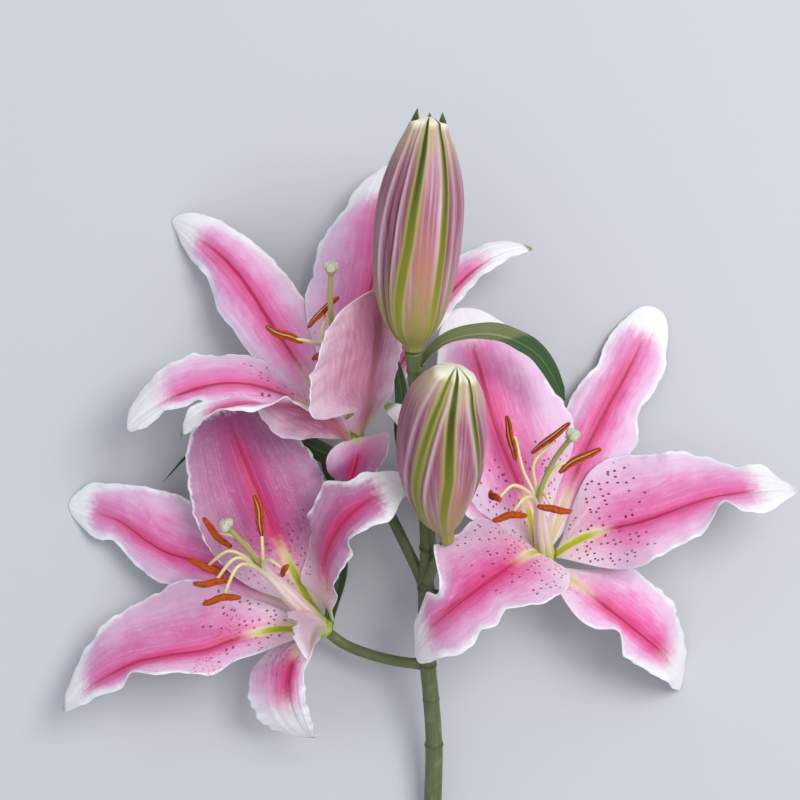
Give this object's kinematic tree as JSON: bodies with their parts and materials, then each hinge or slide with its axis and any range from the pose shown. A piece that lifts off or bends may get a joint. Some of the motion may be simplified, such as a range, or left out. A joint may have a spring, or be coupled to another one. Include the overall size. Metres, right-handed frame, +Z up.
{
  "type": "cut lily stem",
  "caption": "Cut oriental lily lying on its back, pink-striped open blooms with recurved tepals and rust anthers, closed buds, slender leaves and a long green stem",
  "frame": {"origin": "on the surface that the lily lies on, below the middle of its box", "axes": "+Y along the stem from its cut end to the top bud, +X to the right bloom, +Z up, which the open blooms face"},
  "size_m": [0.3528, 0.3878, 0.1329],
  "materials": {
    "petal": "satin, pink with a crimson stripe and white margin",
    "sepal": "satin, pink with a green tip",
    "filament": "smooth, pale yellow-green",
    "anther": "powdery rust brown",
    "pistil": "smooth, olive green",
    "bud": "matte, dusky pink with green ridges",
    "stem": "waxy, olive green",
    "leaf": "satin, dark green"
  },
  "bodies": {
    "root": {"right_bloom.petal_right": "petal", "right_bloom.petal_upper_left": "petal", "right_bloom.petal_lower_left": "petal", "right_bloom.sepal_upper_right": "sepal", "right_bloom.sepal_left": "sepal", "right_bloom.sepal_lower_right": "sepal", "right_bloom.filaments": "filament", "right_bloom.anther_1": "anther", "right_bloom.anther_2": "anther", "right_bloom.anther_3": "anther", "right_bloom.anther_4": "anther", "right_bloom.anther_5": "anther", "right_bloom.anther_6": "anther", "right_bloom.pistil": "pistil", "left_bloom.petal_up": "petal", "left_bloom.petal_lower_left": "petal", "left_bloom.petal_near": "petal", "left_bloom.sepal_left": "sepal", "left_bloom.sepal_bottom": "sepal", "left_bloom.sepal_right": "sepal", "left_bloom.filaments": "filament", "left_bloom.anther_1": "anther", "left_bloom.anther_2": "anther", "left_bloom.anther_3": "anther", "left_bloom.anther_4": "anther", "left_bloom.anther_5": "anther", "left_bloom.anther_6": "anther", "left_bloom.pistil": "pistil", "top_bloom.petal_left": "petal", "top_bloom.petal_near": "petal", "top_bloom.petal_back": "petal", "top_bloom.sepal_upper_left": "sepal", "top_bloom.sepal_lower_left": "sepal", "top_bloom.sepal_right": "sepal", "top_bloom.sepal_hanging": "sepal", "top_bloom.filaments": "filament", "top_bloom.anther_1": "anther", "top_bloom.anther_2": "anther", "top_bloom.anther_3": "anther", "top_bloom.anther_4": "anther", "top_bloom.anther_5": "anther", "top_bloom.anther_6": "anther", "top_bloom.pistil": "pistil", "top_bud": "bud", "front_bud": "bud", "stem": "stem", "leaf_top": "leaf", "leaf_middle": "leaf", "leaf_left": "leaf", "leaf_back": "leaf"}
  },
  "joints": []
}
